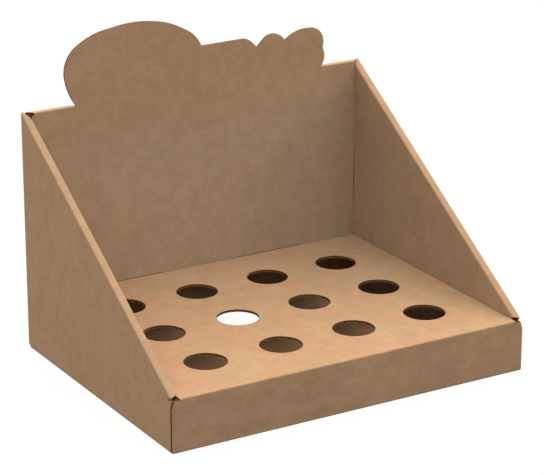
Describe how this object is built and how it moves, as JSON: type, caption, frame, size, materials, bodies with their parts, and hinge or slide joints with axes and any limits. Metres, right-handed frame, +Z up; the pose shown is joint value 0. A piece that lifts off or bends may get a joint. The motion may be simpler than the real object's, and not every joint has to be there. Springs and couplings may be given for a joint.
{
  "type": "cardboard display stand",
  "caption": "Folded corrugated-board counter display with sloping rolled-over side walls, a cut-out header and a platform with round product holes.",
  "frame": {"origin": "middle of the base's underside, on the counter", "axes": "+X to the right across the width, +Y from the front to the back, +Z up"},
  "size_m": [0.24, 0.186, 0.1979],
  "materials": {
    "kraft_board": "matte brown kraft liner on corrugated board"
  },
  "bodies": {
    "root": {"display_stand": "kraft_board"}
  },
  "joints": []
}
